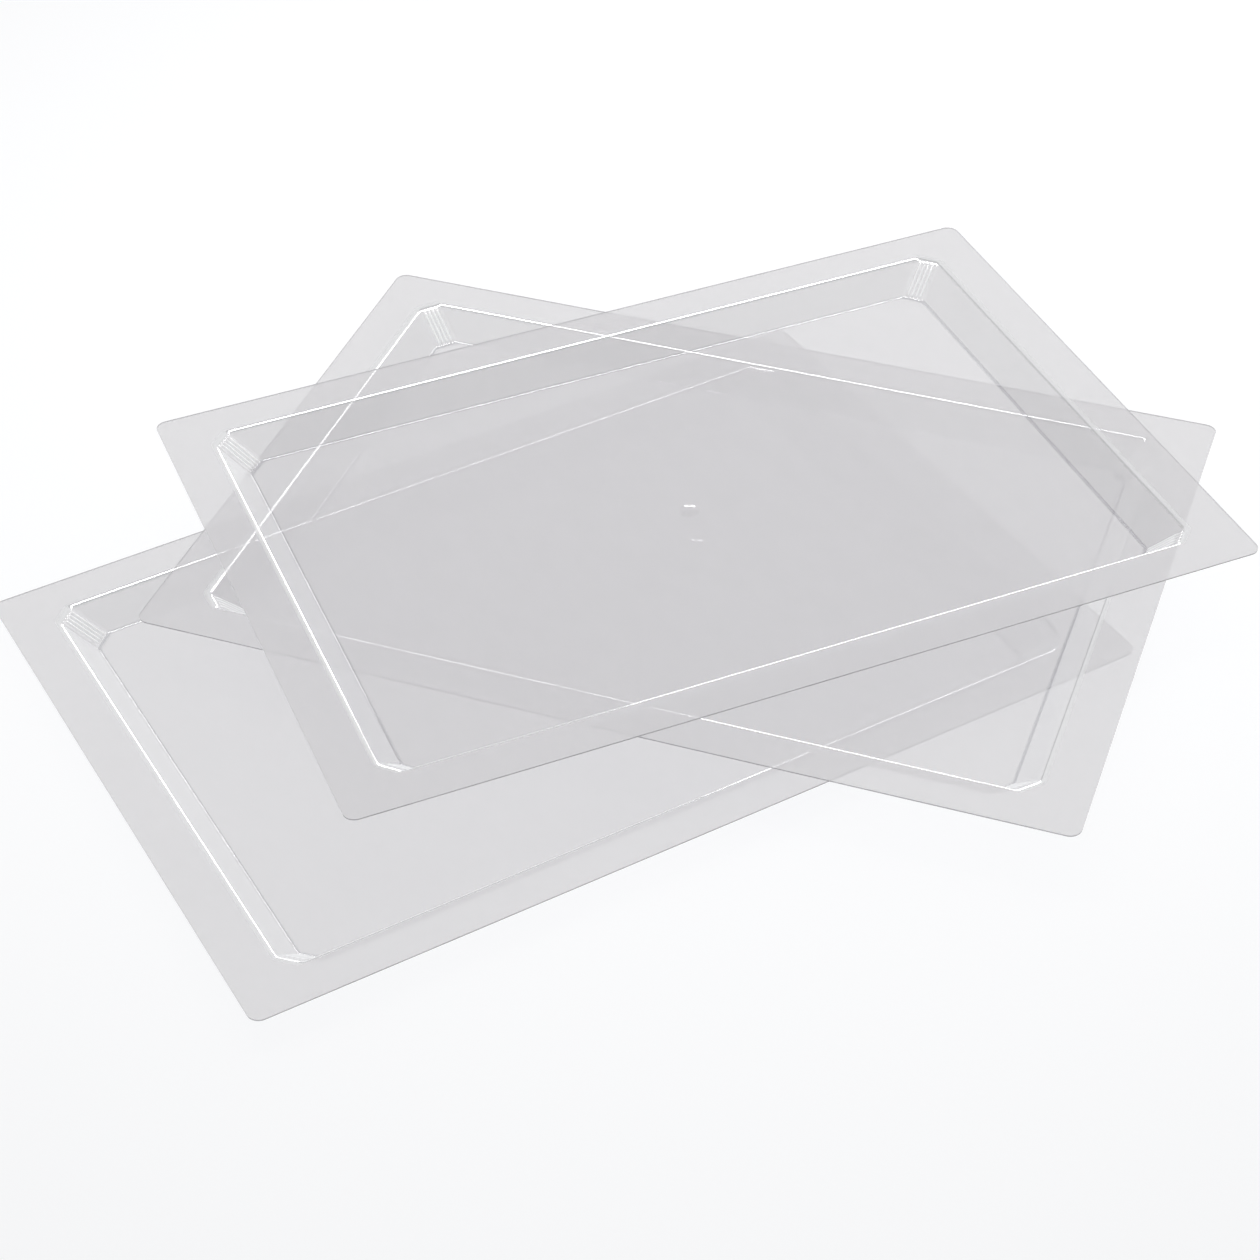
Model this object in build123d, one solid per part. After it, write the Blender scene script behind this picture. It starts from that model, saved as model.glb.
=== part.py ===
from build123d import *
import math
import os

# Three identical clear vacuum-formed nursery trays, open side up and stacked criss-cross.
#
# Each tray is one thin sheet: a wide flat flange, a soft bend into four sloping walls, a flat floor with a
# small raised pip at its centre, and four narrow cut-off corners stiffened by upright flutes.
# Millimetres, +Z up. The origin is on the surface that the stack stands on, at the centre of the stack's
# footprint, and X runs along the bottom tray's length.

# One tray, outside
TRAY_LENGTH = 550.0
TRAY_WIDTH = 380.0
TRAY_HEIGHT = 20.0
SHEET = 0.8
FLANGE_CORNER_RADIUS = 7.0

# Flange width, from the outer edge to the mouth, and how far each wall leans in on its way down
END_FLANGE = 28.5
SIDE_FLANGE = 25.5
END_WALL_RUN = 17.0
SIDE_WALL_RUN = 12.4

# Bends, measured on the inside of the sheet
MOUTH_BEND = 4.2
FLOOR_BEND = 3.0

# Cut-off corners and their flutes
CORNER_CUT = 10.5
CORNER_SOFTENING = 4.5
FLUTES_PER_CORNER = 4
FLUTE_PITCH = 3.0
FLUTE_RADIUS = 1.2
FLUTE_LIFT = 0.3
FLUTE_START = 0.1
FLUTE_END = 0.84

# Raised pip at the centre of the floor
PIP_DIAMETER = 13.0
PIP_RISE = 1.6

# Edges closer than this to the end of the tray belong to the flange's outer edge, not to the basin
OUTER_EDGE_MARGIN = END_FLANGE / 3

# Width of the block that trims the pip's ball to a cap, in ball-cap radii
CAP_CUTTER_SPAN = 4.0

# How the upper trays lie on the bottom one: their centres from its centre, and their turns about +Z
STACK_GAP = 0.2
MIDDLE_OFFSET = (108.5, 22.0)
MIDDLE_TURN = -49.7
TOP_OFFSET = (108.5, 30.5)
TOP_TURN = -7.2

# Worked out from the driving dimensions
MOUTH_HALF = (TRAY_LENGTH / 2 - END_FLANGE, TRAY_WIDTH / 2 - SIDE_FLANGE)
WALL_RUN = (END_WALL_RUN, SIDE_WALL_RUN)
WALL_RISE = TRAY_HEIGHT - SHEET
STACK_PITCH = TRAY_HEIGHT + STACK_GAP


def half_spans(height, outside):
    """Half length and half width of the basin at a height, on the inside or the outside of the sheet."""
    spans = []
    for mouth_half, run in zip(MOUTH_HALF, WALL_RUN):
        lean = run * (TRAY_HEIGHT - height) / WALL_RISE
        skin = SHEET * math.hypot(run, WALL_RISE) / WALL_RISE if outside else 0.0
        spans.append(mouth_half - lean + skin)
    return spans


def basin_outline(height, outside):
    """Rectangle with cut-off, slightly softened corners, lying at the given height."""
    half_x, half_y = half_spans(height, outside)
    corner = (half_x - CORNER_CUT, half_y - CORNER_CUT)
    points = [
        (half_x, corner[1]),
        (corner[0], half_y),
        (-corner[0], half_y),
        (-half_x, corner[1]),
        (-half_x, -corner[1]),
        (-corner[0], -half_y),
        (corner[0], -half_y),
        (half_x, -corner[1]),
    ]
    face = make_face(Polyline(*points, close=True))
    softened = fillet(face.vertices(), CORNER_SOFTENING)
    return Pos(0, 0, height) * softened


def basin(low, high, outside):
    """Solid that fills the basin between two heights."""
    return loft([basin_outline(low, outside).face(), basin_outline(high, outside).face()], ruled=True)


def edges_at(shape, height, largest_half_x):
    """Edges of a shape that lie in one horizontal plane, inside the flange's outer edge."""
    found = []
    for edge in shape.edges():
        box = edge.bounding_box()
        level = abs(box.min.Z - height) < 1e-4 and abs(box.max.Z - height) < 1e-4
        if level and max(abs(box.min.X), abs(box.max.X)) < largest_half_x:
            found.append(edge)
    return found


def formed_sheet():
    """Flange, walls and floor of one tray, with all its bends."""
    inner_limit = TRAY_LENGTH / 2 - OUTER_EDGE_MARGIN
    flange_face = RectangleRounded(TRAY_LENGTH, TRAY_WIDTH, FLANGE_CORNER_RADIUS)
    flange = Pos(0, 0, TRAY_HEIGHT - SHEET) * extrude(flange_face, SHEET)

    body = flange + basin(0, TRAY_HEIGHT - SHEET, True)
    body = fillet(edges_at(body, TRAY_HEIGHT - SHEET, inner_limit), MOUTH_BEND)
    body = fillet(edges_at(body, 0, inner_limit), FLOOR_BEND + SHEET)

    hollow = basin(SHEET, TRAY_HEIGHT, False)
    hollow = fillet(edges_at(hollow, SHEET, inner_limit), FLOOR_BEND)

    body = body - hollow
    return fillet(edges_at(body, TRAY_HEIGHT, inner_limit), MOUTH_BEND + SHEET)


def round_ended_rod(length, radius):
    """Upright rod with rounded ends, standing on the origin."""
    outline = Curve() + [
        RadiusArc((0, 0), (radius, radius), -radius),
        Line((radius, radius), (radius, length - radius)),
        RadiusArc((radius, length - radius), (0, length), -radius),
        Line((0, length), (0, 0)),
    ]
    return Rot(90, 0, 0) * revolve(make_face(outline), Axis.Y)


def corner_flutes():
    """Half-round upright ridges on the inside of the four cut-off corners."""
    flutes = []
    floor_x, floor_y = half_spans(SHEET, False)
    for side_x in (1, -1):
        for side_y in (1, -1):
            up_wall = Vector(side_x * END_WALL_RUN, side_y * SIDE_WALL_RUN, WALL_RISE)
            across = Vector(side_x, -side_y, 0).normalized()
            inward = up_wall.cross(across).normalized()
            if inward.Z < 0:
                inward = inward * -1
            middle = Vector(side_x * (floor_x - CORNER_CUT / 2), side_y * (floor_y - CORNER_CUT / 2), SHEET)
            for number in range(FLUTES_PER_CORNER):
                shift = (number - (FLUTES_PER_CORNER - 1) / 2) * FLUTE_PITCH
                foot = middle + across * shift + inward * FLUTE_LIFT
                span = up_wall * (FLUTE_END - FLUTE_START)
                standing = Plane(origin=foot + up_wall * FLUTE_START, z_dir=span)
                flutes.append(standing * round_ended_rod(span.length, FLUTE_RADIUS))
    return flutes


def pip_cap(rise, radius):
    """Low dome on the floor: the part of a ball that stands above the floor's underside."""
    ball_radius = (radius**2 + rise**2) / (2 * rise)
    ball = Pos(0, 0, rise - ball_radius) * Sphere(ball_radius)
    span = CAP_CUTTER_SPAN * radius
    slab = Box(span, span, CAP_CUTTER_SPAN * rise, align=(Align.CENTER, Align.CENTER, Align.MIN))
    return ball & slab


def tray():
    """One complete tray, floor down, centred on the Z axis."""
    body = formed_sheet()
    body = body + pip_cap(PIP_RISE + SHEET, PIP_DIAMETER / 2 + SHEET)
    body = body - pip_cap(PIP_RISE, PIP_DIAMETER / 2)
    return body + corner_flutes()


def placed(shape, offset, turn, level):
    """The tray as it lies in the stack."""
    return Pos(offset[0], offset[1], level * STACK_PITCH) * Rot(0, 0, turn) * shape


def centred(stack):
    """The whole stack, moved sideways until its footprint is centred on the origin."""
    boxes = [shape.bounding_box() for shape in stack.values()]
    middle_x = (min(box.min.X for box in boxes) + max(box.max.X for box in boxes)) / 2
    middle_y = (min(box.min.Y for box in boxes) + max(box.max.Y for box in boxes)) / 2
    shift = Pos(-middle_x, -middle_y, 0)
    return {name: shift * shape for name, shape in stack.items()}


one_tray = tray()
nodes = centred(
    {
        "tray_bottom": placed(one_tray, (0, 0), 0, 0),
        "tray_middle": placed(one_tray, MIDDLE_OFFSET, MIDDLE_TURN, 1),
        "tray_top": placed(one_tray, TOP_OFFSET, TOP_TURN, 2),
    }
)

os.makedirs("parts", exist_ok=True)
for name, shape in nodes.items():
    export_step(shape, f"parts/{name}.step")
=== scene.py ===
"""Looks of the three clear vacuum-formed trays. Metres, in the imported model's own frame."""

import math

import bpy
from mathutils import Matrix, Vector


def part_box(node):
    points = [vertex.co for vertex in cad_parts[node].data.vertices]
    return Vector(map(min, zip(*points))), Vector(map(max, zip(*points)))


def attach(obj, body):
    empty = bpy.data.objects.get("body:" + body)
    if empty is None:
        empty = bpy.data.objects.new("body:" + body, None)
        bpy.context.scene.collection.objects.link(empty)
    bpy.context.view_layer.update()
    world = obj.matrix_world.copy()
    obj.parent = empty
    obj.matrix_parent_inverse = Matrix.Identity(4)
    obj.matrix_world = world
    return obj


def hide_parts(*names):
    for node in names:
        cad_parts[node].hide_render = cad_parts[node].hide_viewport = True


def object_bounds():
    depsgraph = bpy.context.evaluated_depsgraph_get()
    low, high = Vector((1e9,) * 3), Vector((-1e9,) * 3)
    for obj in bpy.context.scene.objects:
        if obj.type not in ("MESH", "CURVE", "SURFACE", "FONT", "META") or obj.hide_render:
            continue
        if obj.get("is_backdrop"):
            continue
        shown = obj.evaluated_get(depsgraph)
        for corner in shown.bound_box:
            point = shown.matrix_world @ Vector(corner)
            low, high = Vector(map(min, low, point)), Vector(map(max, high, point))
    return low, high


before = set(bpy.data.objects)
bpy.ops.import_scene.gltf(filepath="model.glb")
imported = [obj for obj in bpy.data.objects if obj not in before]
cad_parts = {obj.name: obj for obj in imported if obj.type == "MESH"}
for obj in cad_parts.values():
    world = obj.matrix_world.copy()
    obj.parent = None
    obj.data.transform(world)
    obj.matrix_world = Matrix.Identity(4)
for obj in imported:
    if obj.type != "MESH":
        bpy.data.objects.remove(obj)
cad_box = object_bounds()

MM = 0.001

# Each tray's CAD node, body and turn about +Z. Its place comes from the node's box.
TRAYS = (
    ("tray_bottom", "bottom_tray", 0.0),
    ("tray_middle", "middle_tray", -49.7),
    ("tray_top", "top_tray", -7.2),
)

# One tray, as in the CAD part
LENGTH = 550 * MM
WIDTH = 380 * MM
HEIGHT = 20 * MM
SHEET = 0.8 * MM
FLANGE_CORNER_RADIUS = 7 * MM
END_FLANGE = 28.5 * MM
SIDE_FLANGE = 25.5 * MM
END_WALL_RUN = 17 * MM
SIDE_WALL_RUN = 12.4 * MM
MOUTH_BEND = 5 * MM
FLOOR_BEND = 3 * MM
CORNER_CUT = 10.5 * MM
CORNER_SOFTENING = 4.5 * MM
FLUTES = 4
FLUTE_DEPTH = 1.5 * MM
PIP_RADIUS = 6.5 * MM
PIP_RISE = 1.6 * MM

# The cut edge is rounded by this much, where the sheet turns by more than this angle
EDGE_ROUNDING = 0.2 * MM
EDGE_SEGMENTS = 2
EDGE_ANGLE = math.radians(70)

# Mesh resolution
SIDE_POINTS = 22
ARC_POINTS = 5
POINTS_PER_FLUTE = 8
BEND_RINGS = 9
WALL_RINGS = 9
FLANGE_RINGS = 5
FLOOR_RINGS = 9
PIP_RINGS = 10
BEND_SUPPORT = 0.3 * MM

# How much the foot of the wall and the crests of the flutes gleam beside the mouth
FOOT_GLEAM = 0.25
CREST_GLEAM = 0.2

# The floor is flat up to this many pip radii, and the power rounds off the pip's foot
PIP_SKIRT = 1.35
PIP_ROUNDING = 1.5

# The floor's rings crowd together towards the wall, more so the further this is above 1
FLOOR_CROWDING = 1.6

# Shape of a flute across its flat, and of the painted highlight on its crest: more than 1 narrows the
# crest, less widens it
FLUTE_POINTEDNESS = 1.3
CREST_HIGHLIGHT_POINTEDNESS = 0.8

# The flutes grow out of the mouth between these drops below the flange, and sink into the floor bend
# between these heights above the floor
FLUTE_GROWTH = (1.2 * MM, 3.4 * MM)
FLUTE_SINKING = (2.5 * MM, 0.5 * MM)


# ---------------------------------------------------------------- tray mesh


def arc(centre, radius, start, end, steps):
    """Points of a round arc, both ends included."""
    points = []
    for step in range(steps + 1):
        angle = start + (end - start) * step / steps
        points.append((centre[0] + radius * math.cos(angle), centre[1] + radius * math.sin(angle)))
    return points


def part_way(first, last, along):
    """The point a share of the way from one point to another."""
    return tuple(a + (b - a) * along for a, b in zip(first, last))


def eased(value, start, end):
    """0 at start, 1 at end, and a soft curve between them."""
    along = min(max((value - start) / (end - start), 0), 1)
    return along * along * (3 - 2 * along)


def flute_wave(along):
    """Height of the row of flutes at a share of the way across a flat: 1 on a crest, 0 between flutes."""
    return 0.5 - 0.5 * math.cos(2 * math.pi * FLUTES * along)


def corner_points():
    """Number of points in one corner of an outline."""
    return 2 * ARC_POINTS + FLUTES * POINTS_PER_FLUTE + 1


def round_corner(half_x, half_y, radius):
    """The first-quadrant corner of a rounded rectangle, from its right side to its top side."""
    centre = (half_x - radius, half_y - radius)
    return arc(centre, radius, 0, math.pi / 2, corner_points() - 1)


def cut_corner(half_x, half_y, flute):
    """The first-quadrant corner of the basin: soft arc, fluted flat, soft arc."""
    soft = CORNER_SOFTENING
    reach = soft * math.tan(math.pi / 8)
    low_centre = (half_x - soft, half_y - CORNER_CUT - reach)
    high_centre = (half_x - CORNER_CUT - reach, half_y - soft)
    low = arc(low_centre, soft, 0, math.pi / 4, ARC_POINTS)
    high = arc(high_centre, soft, math.pi / 4, math.pi / 2, ARC_POINTS)
    flat = []
    count = FLUTES * POINTS_PER_FLUTE
    for step in range(1, count):
        along = step / count
        inward = flute * flute_wave(along) ** FLUTE_POINTEDNESS * math.sqrt(0.5)
        x, y = part_way(low[-1], high[0], along)
        flat.append((x - inward, y - inward))
    return low + flat + high


def outline(corner):
    """Full closed outline from its first-quadrant corner, counter-clockwise from the right side."""
    points = []
    quarters = [
        corner,
        [(-x, y) for x, y in reversed(corner)],
        [(-x, -y) for x, y in corner],
        [(x, -y) for x, y in reversed(corner)],
    ]
    for index, quarter in enumerate(quarters):
        following = quarters[(index + 1) % 4]
        points += quarter
        for step in range(1, SIDE_POINTS):
            points.append(part_way(quarter[-1], following[0], step / SIDE_POINTS))
    return points


def section():
    """The sheet's upper face from flange to floor: (share of the wall's run, drop, gleam, painted shade
    on the floor bend).
    """
    rise = HEIGHT - SHEET
    run = (END_WALL_RUN + SIDE_WALL_RUN) / 2
    slope = math.atan2(rise, run)
    mouth_reach = MOUTH_BEND * math.tan(slope / 2)
    floor_reach = FLOOR_BEND * math.tan(slope / 2)
    mouth, foot = [], []
    for step in range(BEND_RINGS + 1):
        along = step / BEND_RINGS
        bent = math.sin(math.pi * along)
        angle = slope * along
        across = MOUTH_BEND * math.sin(angle) - mouth_reach
        mouth.append((across / run, MOUTH_BEND * (1 - math.cos(angle)), bent, 0))
        angle = slope * (1 - along)
        across = run + floor_reach - FLOOR_BEND * math.sin(angle)
        drop = rise - FLOOR_BEND * (1 - math.cos(angle))
        # The foot's last look marks where painted shade darkens the bend round the floor
        foot.append((across / run, drop, FOOT_GLEAM * bent, bent**2))

    top, bottom = mouth[-1][:2], foot[0][:2]
    support = BEND_SUPPORT / math.hypot(run * (bottom[0] - top[0]), bottom[1] - top[1])
    shares = [step / WALL_RINGS for step in range(1, WALL_RINGS)]
    wall = [part_way(top, bottom, along) + (0, 0) for along in [support] + shares + [1 - support]]

    beside_mouth = (mouth[0][0] - BEND_SUPPORT / run, 0, 0, 0)
    beside_foot = (foot[-1][0] + BEND_SUPPORT / run, rise, 0, 0)
    return [beside_mouth] + mouth + wall + foot + [beside_foot]


def flute_strength(drop):
    """How much of a flute stands at a drop below the flange: none at the bends, all of it on the wall."""
    height = HEIGHT - SHEET - drop
    return eased(drop, *FLUTE_GROWTH) * (1 - eased(height, *FLUTE_SINKING))


def flute_crests():
    """How near each point of an outline is to a flute's crest: 1 on it, 0 between and beside flutes."""
    count = FLUTES * POINTS_PER_FLUTE
    flat = [flute_wave(step / count) ** CREST_HIGHLIGHT_POINTEDNESS for step in range(1, count)]
    corner = [0.0] * (ARC_POINTS + 1) + flat + [0.0] * (ARC_POINTS + 1)
    return (corner + [0.0] * (SIDE_POINTS - 1)) * 4


def basin_rings():
    """Rings of the upper face from the mouth down to the edge of the floor, with their looks."""
    rings, looks = [], []
    crests = flute_crests()
    for share, drop, bent, floor_bend_shade in section():
        half_x = LENGTH / 2 - END_FLANGE - END_WALL_RUN * share
        half_y = WIDTH / 2 - SIDE_FLANGE - SIDE_WALL_RUN * share
        standing = flute_strength(drop)
        corner = cut_corner(half_x, half_y, FLUTE_DEPTH * standing)
        rings.append([(x, y, HEIGHT - drop) for x, y in outline(corner)])
        ring_looks = []
        for crest in crests:
            # How much of the painted white highlight stands here, on a flute's crest
            crest_highlight = standing * crest
            ring_looks.append((max(bent, CREST_GLEAM * crest_highlight), crest_highlight, floor_bend_shade))
        looks.append(ring_looks)
    return rings, looks


def flange_rings(mouth):
    """Flat rings from the flange's outer edge to just before the mouth."""
    outer = outline(round_corner(LENGTH / 2, WIDTH / 2, FLANGE_CORNER_RADIUS))
    shares = [0, BEND_SUPPORT / SIDE_FLANGE] + [step / FLANGE_RINGS for step in range(1, FLANGE_RINGS)]
    rings = []
    for along in shares:
        rings.append([part_way((x, y, HEIGHT), inner, along) for (x, y), inner in zip(outer, mouth)])
    return rings


def floor_rings(floor_edge):
    """Rings from the edge of the floor over the flat floor and up the pip."""
    skirt = PIP_RADIUS * PIP_SKIRT
    pip_edge = []
    for x, y, z in floor_edge:
        length = math.hypot(x, y)
        pip_edge.append((x / length * skirt, y / length * skirt, z))
    rings = []
    for step in range(1, FLOOR_RINGS + 1):
        along = 1 - (1 - step / FLOOR_RINGS) ** FLOOR_CROWDING
        rings.append([part_way(start, end, along) for start, end in zip(floor_edge, pip_edge)])
    for step in range(1, PIP_RINGS):
        inward = 1 - step / PIP_RINGS
        share = PIP_SKIRT * inward
        lift = PIP_RISE * max(0.0, 1 - share * share) ** PIP_ROUNDING
        rings.append([(x * inward, y * inward, SHEET + lift) for x, y, z in pip_edge])
    return rings


def tray_rings():
    """Rings of the upper face from the flange's outer edge to the middle of the pip, with their looks.

    The looks are each point's gleam, on the two bends and the flutes' crests, its painted highlight, on
    the crests, and its painted shade, on the bend round the floor.
    """
    basin, basin_looks = basin_rings()
    flange = flange_rings(basin[0])
    floor = floor_rings(basin[-1])
    plain = [(0.0, 0.0, 0.0)] * len(basin[0])
    looks = [plain] * len(flange) + basin_looks + [plain] * len(floor)
    return flange + basin + floor, looks


def tray_mesh(name):
    """The sheet's upper face as a clean mesh of quads, closed by a small fan at the middle of the pip."""
    rings, looks = tray_rings()
    count = len(rings[0])
    vertices = [point for ring in rings for point in ring]
    faces = []
    for ring in range(len(rings) - 1):
        for step in range(count):
            following = (step + 1) % count
            faces.append((
                ring * count + step,
                ring * count + following,
                (ring + 1) * count + following,
                (ring + 1) * count + step,
            ))
    middle = len(vertices)
    vertices.append((0, 0, SHEET + PIP_RISE))
    last = (len(rings) - 1) * count
    for step in range(count):
        faces.append((last + step, last + (step + 1) % count, middle))
    mesh = bpy.data.meshes.new(name)
    mesh.from_pydata(vertices, [], faces)
    mesh.validate()
    for index, look in enumerate(("gleam", "crest_highlight", "floor_bend_shade")):
        values = [point[index] for ring in looks for point in ring] + [0.0]
        mesh.attributes.new(look, "FLOAT", "POINT").data.foreach_set("value", values)
    return mesh


def build_tray(node, body, turn, finishes):
    """One tray in its place: a sheet with thickness, rounded edge and finishes, and its body to ride on.

    The first finish is the sheet's two faces, the second its cut edge.
    """
    name = node + "_sheet"
    piece = bpy.data.objects.new(name, tray_mesh(name))
    bpy.context.scene.collection.objects.link(piece)
    for finish in finishes:
        piece.data.materials.append(finish)

    thickness = piece.modifiers.new("thickness", "SOLIDIFY")
    thickness.thickness = SHEET
    thickness.offset = -1
    thickness.use_even_offset = True
    thickness.material_offset_rim = 1
    edge = piece.modifiers.new("edge", "BEVEL")
    edge.width = EDGE_ROUNDING
    edge.segments = EDGE_SEGMENTS
    edge.limit_method = "ANGLE"
    edge.angle_limit = EDGE_ANGLE
    edge.material = 1

    bpy.context.view_layer.update()
    shaped = piece.evaluated_get(bpy.context.evaluated_depsgraph_get())
    finished = bpy.data.meshes.new_from_object(shaped)
    piece.modifiers.clear()
    piece.data = finished
    finished.name = name

    low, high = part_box(node)
    centre = Vector(((low.x + high.x) / 2, (low.y + high.y) / 2, low.z))
    finished.transform(Matrix.Translation(centre) @ Matrix.Rotation(math.radians(turn), 4, "Z"))
    for face in finished.polygons:
        face.use_smooth = True

    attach(piece, body)
    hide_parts(node)


# ---------------------------------------------------------------- materials


# Each finish's share of haze in one face, from its clearest patches to its cloudiest, the haze's colour,
# and the tint of a face seen edge-on
SHEET_HAZE = (0.405, 0.42)
SHEET_COLOUR = (0.635, 0.622, 0.63, 1)
SHEET_EDGE_ON = (0.6, 0.6, 0.61, 1)
# The cut edge's haze is painted shade: a dark grey that stands in for the dark line that the edge of a
# clear sheet shows
CUT_HAZE = (0.7, 0.8)
CUT_PAINTED_SHADE = (0.24, 0.24, 0.25, 1)
CUT_EDGE_ON = (0.4, 0.4, 0.41, 1)

# Light straight through one face, and the slants between which a face turns edge-on
FACE_TINT = (0.992, 0.992, 0.992, 1)
EDGE_ON = (0.84, 1.0)

# Cloudy patches, per metre and drawn out along Y, and slow ripples in the mirror
PATCH_SCALE = 26
PATCH_DETAIL = 6
PATCH_STRETCH = (1.0, 0.55, 1.0)
RIPPLE_SCALE = 9
RIPPLE_DETAIL = 1.5
RIPPLE_STRENGTH = 0.2
RIPPLE_HEIGHT = 0.3 * MM

# A sheet's two sides together mirror about as much as one side of this index
BOTH_SIDES_IOR = 1.65
FLAT_ROUGHNESS = (0.03, 0.08)

# Bends gather light like a lens: their share of mirror, and how rough they are
BEND_MIRROR = 0.8
BEND_ROUGHNESS = 0.16

# Painted highlight: white haze on the crests of the flutes, standing in for their highlights; its share
# and colour
CREST_HIGHLIGHT = 0.95
CREST_HIGHLIGHT_WHITE = (1.0, 1.0, 1.0, 1)

# Painted shade: the thin dark line that the bend round the floor shows, painted into the haze's colour
FOLD_SHADE = (0.3, 0.29, 0.32, 1)

# What is left of light that passes one face of a sheet on its way to something else
PASSING = (0.988, 0.988, 0.99, 1)

FLOOR_WHITE = (0.98, 0.98, 0.98, 1)
FLOOR_ROUGHNESS = 0.9
FLOOR_SHINE = 0.1


class Shader:
    """Short way to add nodes to one material and join them."""

    def __init__(self, name):
        self.material = bpy.data.materials.new(name)
        self.material.use_nodes = True
        self.nodes = self.material.node_tree.nodes
        self.links = self.material.node_tree.links
        self.nodes.clear()

    def add(self, kind, values=None, **settings):
        """New node with its settings, plain input values and linked inputs."""
        node = self.nodes.new("ShaderNode" + kind)
        for key, value in settings.items():
            setattr(node, key, value)
        for key, value in (values or {}).items():
            if isinstance(value, bpy.types.NodeSocket):
                self.links.new(value, node.inputs[key])
            else:
                node.inputs[key].default_value = value
        return node

    def noise(self, place, scale, detail):
        """Cloudy pattern from 0 to 1."""
        return self.add("TexNoise", {"Vector": place, "Scale": scale, "Detail": detail}).outputs["Fac"]

    def spread(self, value, low, high, from_low=0.35, from_high=0.65):
        """Maps a 0 to 1 pattern onto a range of values."""
        ends = {"From Min": from_low, "From Max": from_high, "To Min": low, "To Max": high}
        return self.add("MapRange", {"Value": value, **ends}).outputs["Result"]

    def calculate(self, operation, first, second):
        """One sum with two numbers or patterns."""
        return self.add("Math", {0: first, 1: second}, operation=operation).outputs["Value"]

    def blend(self, share, first, second, kind):
        """A share of the way from one value to another: of colours for RGBA, of numbers for FLOAT."""
        values = {"Factor": share, "A": first, "B": second}
        return self.add("Mix", values, data_type=kind).outputs["Result"]

    def surface(self, kind, values):
        """One plain surface or way through."""
        return self.add("Bsdf" + kind, values).outputs["BSDF"]

    def mix(self, share, first, second):
        """A share of the way from one surface to another."""
        return self.add("MixShader", {0: share, 1: first, 2: second}).outputs["Shader"]

    def finish(self, surface):
        """Uses the surface and gives back the material."""
        self.add("OutputMaterial", {"Surface": surface})
        return self.material


def clear_plastic(name, haze, haze_colour, edge_on_colour):
    """Thin clear sheet: lets light straight through, mirrors more at a slant, and has a faint grey haze.

    Both faces of the sheet carry haze. Only a face seen from outside mirrors, and it mirrors for both.
    Light on its way to something else passes almost unchanged.
    """
    make = Shader(name)
    place = make.add("TexCoord").outputs["Object"]
    gleam = make.add("Attribute", attribute_name="gleam").outputs["Fac"]
    crest_highlight = make.add("Attribute", attribute_name="crest_highlight").outputs["Fac"]
    floor_bend_shade = make.add("Attribute", attribute_name="floor_bend_shade").outputs["Fac"]

    drawn_out = make.add("Mapping", {"Vector": place, "Scale": PATCH_STRETCH}).outputs["Vector"]
    patches = make.noise(drawn_out, PATCH_SCALE, PATCH_DETAIL)
    slant = make.add("LayerWeight", {"Blend": 0.5}).outputs["Facing"]
    edge_on = make.spread(slant, 0, 1, *EDGE_ON)
    tint = make.blend(edge_on, FACE_TINT, edge_on_colour, "RGBA")
    through = make.surface("Transparent", {"Color": tint})

    # Painted shade: the haze turns dark grey on the bend round the floor
    shaded = make.blend(floor_bend_shade, haze_colour, FOLD_SHADE, "RGBA")
    # Painted highlight: on the flutes' crests the haze turns white and almost covers the sheet
    colour = make.blend(crest_highlight, shaded, CREST_HIGHLIGHT_WHITE, "RGBA")
    lit_in_front = make.surface("Diffuse", {"Color": colour})
    lit_from_behind = make.surface("Translucent", {"Color": colour})
    cloud = make.mix(0.5, lit_in_front, lit_from_behind)
    cloudiness = make.blend(crest_highlight, make.spread(patches, *haze), CREST_HIGHLIGHT, "FLOAT")
    body = make.mix(cloudiness, through, cloud)

    ripple = make.noise(place, RIPPLE_SCALE, RIPPLE_DETAIL)
    wave = {"Strength": RIPPLE_STRENGTH, "Distance": RIPPLE_HEIGHT, "Height": ripple}
    roughness = make.blend(gleam, make.spread(patches, *FLAT_ROUGHNESS), BEND_ROUGHNESS, "FLOAT")
    normal = make.add("Bump", wave).outputs["Normal"]
    mirror = make.surface("Glossy", {"Color": (1, 1, 1, 1), "Roughness": roughness, "Normal": normal})
    plain = make.add("Fresnel", {"IOR": BOTH_SIDES_IOR}).outputs["Fac"]
    mirroring = make.calculate("MAXIMUM", plain, make.calculate("MULTIPLY", gleam, BEND_MIRROR))
    outward = make.calculate("SUBTRACT", 1.0, make.add("NewGeometry").outputs["Backfacing"])
    surface = make.mix(make.calculate("MULTIPLY", mirroring, outward), body, mirror)

    passing = make.surface("Transparent", {"Color": PASSING})
    rays = make.add("LightPath").outputs
    for ray in ("Is Diffuse Ray", "Is Glossy Ray", "Is Shadow Ray"):
        surface = make.mix(rays[ray], surface, passing)
    return make.finish(surface)


def floor_finish():
    """Plain pale matt floor."""
    make = Shader("pale_floor")
    values = {"Base Color": FLOOR_WHITE, "Roughness": FLOOR_ROUGHNESS, "Specular IOR Level": FLOOR_SHINE}
    return make.finish(make.surface("Principled", values))


# ---------------------------------------------------------------- pieces

sheet = clear_plastic("clear_sheet", SHEET_HAZE, SHEET_COLOUR, SHEET_EDGE_ON)
# The cut edge's finish paints shade on it: a dark grey, nearly opaque haze
cut_edge = clear_plastic("clear_cut_edge_painted_shade", CUT_HAZE, CUT_PAINTED_SHADE, CUT_EDGE_ON)
for node, body, turn in TRAYS:
    build_tray(node, body, turn, (sheet, cut_edge))

# ---------------------------------------------------------------- floor

# The floor lies just under the trays, so that its face and theirs don't share a plane
FLOOR_REACH = 6.0
FLOOR_DROP = 0.5 * MM

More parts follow.
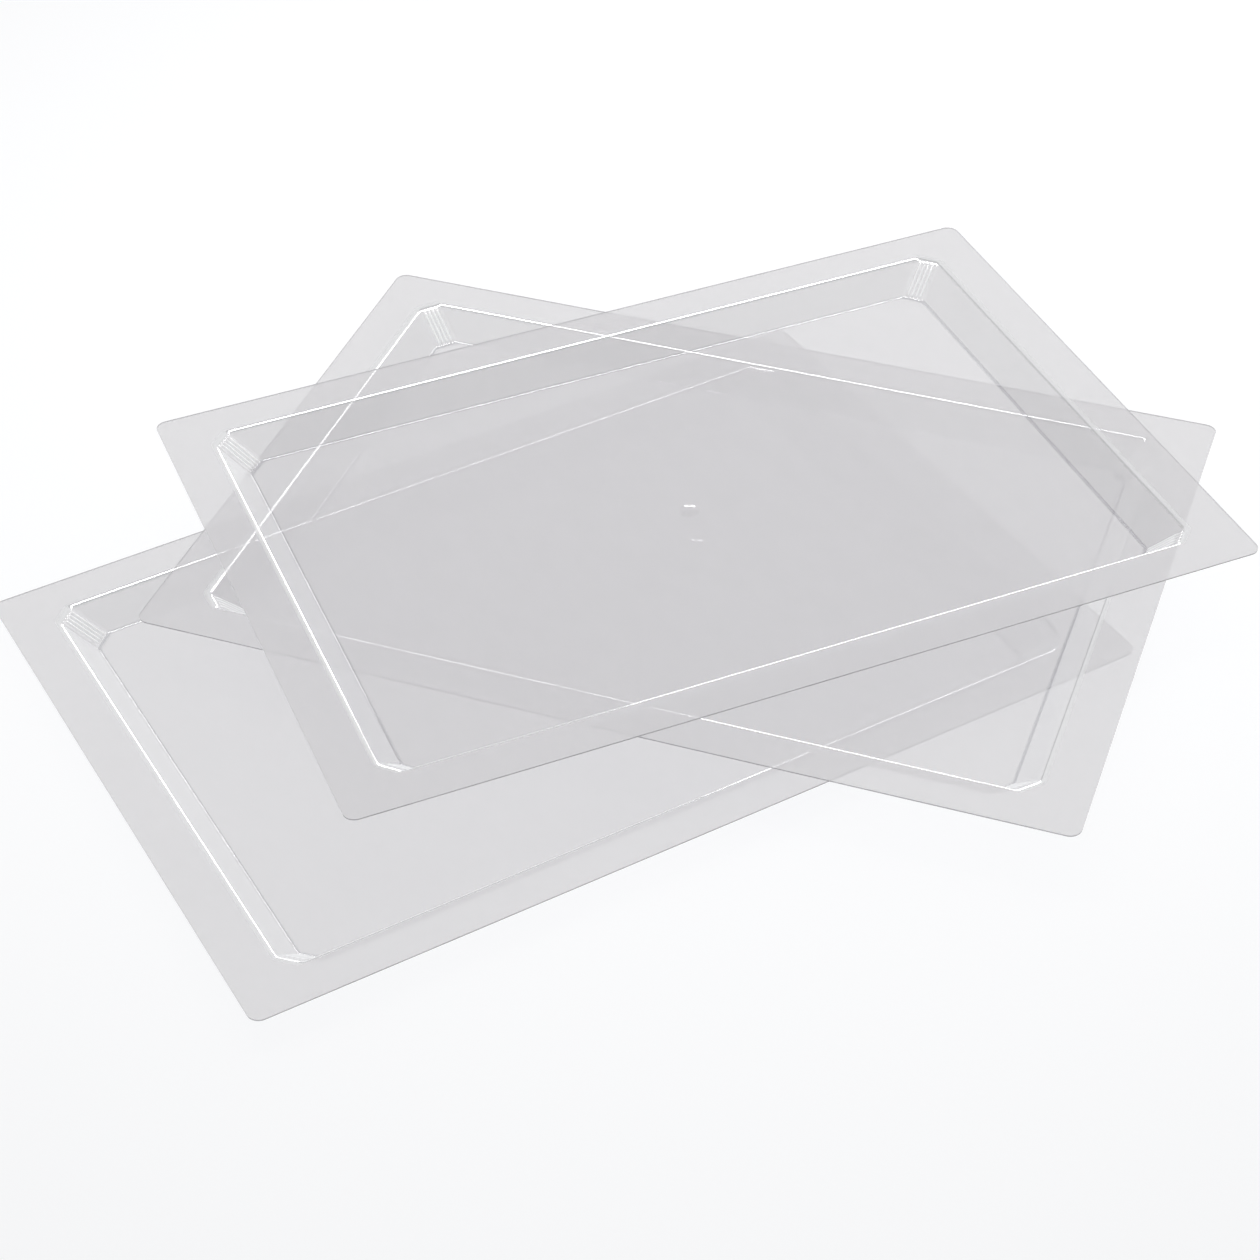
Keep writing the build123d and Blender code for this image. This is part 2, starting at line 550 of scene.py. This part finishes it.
corner_signs = ((-1, -1), (1, -1), (1, 1), (-1, 1))
floor_corners = [(x * FLOOR_REACH, y * FLOOR_REACH, 0) for x, y in corner_signs]
floor_mesh = bpy.data.meshes.new("floor")
floor_mesh.from_pydata(floor_corners, [], [(0, 1, 2, 3)])
floor_mesh.materials.append(floor_finish())
floor = bpy.data.objects.new("floor", floor_mesh)
floor.location.z = -FLOOR_DROP
bpy.context.scene.collection.objects.link(floor)
floor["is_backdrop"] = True

# ---------------------------------------------------------------- light

# Each flat soft light's name, place, size and watts. The two long strips overhead draw the far mouth
# bends, the low one behind draws the near ones, and the rest light the floor evenly.
SOFTBOXES = (
    ("key", (1.9, 0.35, 1.35), (0.6, 0.6), 4),
    ("over_right", (0.7, 0.0, 2.1), (0.25, 1.3), 12),
    ("over_left", (-0.45, 0.55, 2.1), (0.25, 1.3), 13),
    ("sweep", (1.0, 1.3, 1.3), (2.4, 1.6), 3.5),
    ("low_back", (1.5, 2.1, 0.32), (1.2, 0.3), 7.5),
    ("fill", (-0.9, -1.9, 1.7), (1.6, 1.6), 4),
)
SKY_COLOUR = (0.93, 0.94, 0.96, 1)
SKY_STRENGTH = 0.48


def softbox(name, place, size, power):
    """Flat soft light at place that faces the stack."""
    data = bpy.data.lights.new(name, "AREA")
    data.shape = "RECTANGLE"
    data.size, data.size_y = size
    data.energy = power
    lamp = bpy.data.objects.new(name, data)
    facing = Vector(place).to_track_quat("Z", "Y").to_matrix().to_4x4()
    lamp.matrix_world = Matrix.Translation(place) @ facing
    bpy.context.scene.collection.objects.link(lamp)


for name, place, size, power in SOFTBOXES:
    softbox(name, place, size, power)

world = bpy.data.worlds.new("studio")
world.use_nodes = True
sky = world.node_tree.nodes["Background"].inputs
sky["Color"].default_value = SKY_COLOUR
sky["Strength"].default_value = SKY_STRENGTH
bpy.context.scene.world = world
bpy.context.scene.view_settings.view_transform = "Standard"

# A line of sight can cross many faces of thin sheet before it reaches the floor
bpy.context.scene.cycles.transparent_max_bounces = 64

# ---------------------------------------------------------------- camera

# The camera stands to the front left of the stack and looks down on it. The angles are in degrees, and
# the sensor and the lens in millimetres.
CAMERA_TURN = -28.81
CAMERA_RISE = 40.43
CAMERA_ROLL = -1.47
CAMERA_DISTANCE = 1618.7 * MM
CAMERA_AIM = Vector((-29.6 * MM, -26.2 * MM, 0))
SENSOR = 36.0
LENS = 78.3686

heading = math.radians(CAMERA_TURN)
pitch = math.radians(CAMERA_RISE)
level = Vector((math.sin(heading), -math.cos(heading), 0))
back = level * math.cos(pitch) + Vector((0, 0, math.sin(pitch)))
camera_data = bpy.data.cameras.new("camera")
camera_data.sensor_width = SENSOR
camera_data.lens = LENS
camera = bpy.data.objects.new("camera", camera_data)
aimed = back.to_track_quat("Z", "Y").to_matrix().to_4x4()
rolled = Matrix.Rotation(math.radians(CAMERA_ROLL), 4, "Z")
camera.matrix_world = Matrix.Translation(CAMERA_AIM + back * CAMERA_DISTANCE) @ aimed @ rolled
bpy.context.scene.collection.objects.link(camera)
bpy.context.scene.camera = camera

boxes = {"cad": cad_box, "visual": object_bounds()}
for name, box in boxes.items():
    boxes[name] = [[float(value) for value in corner] for corner in box]
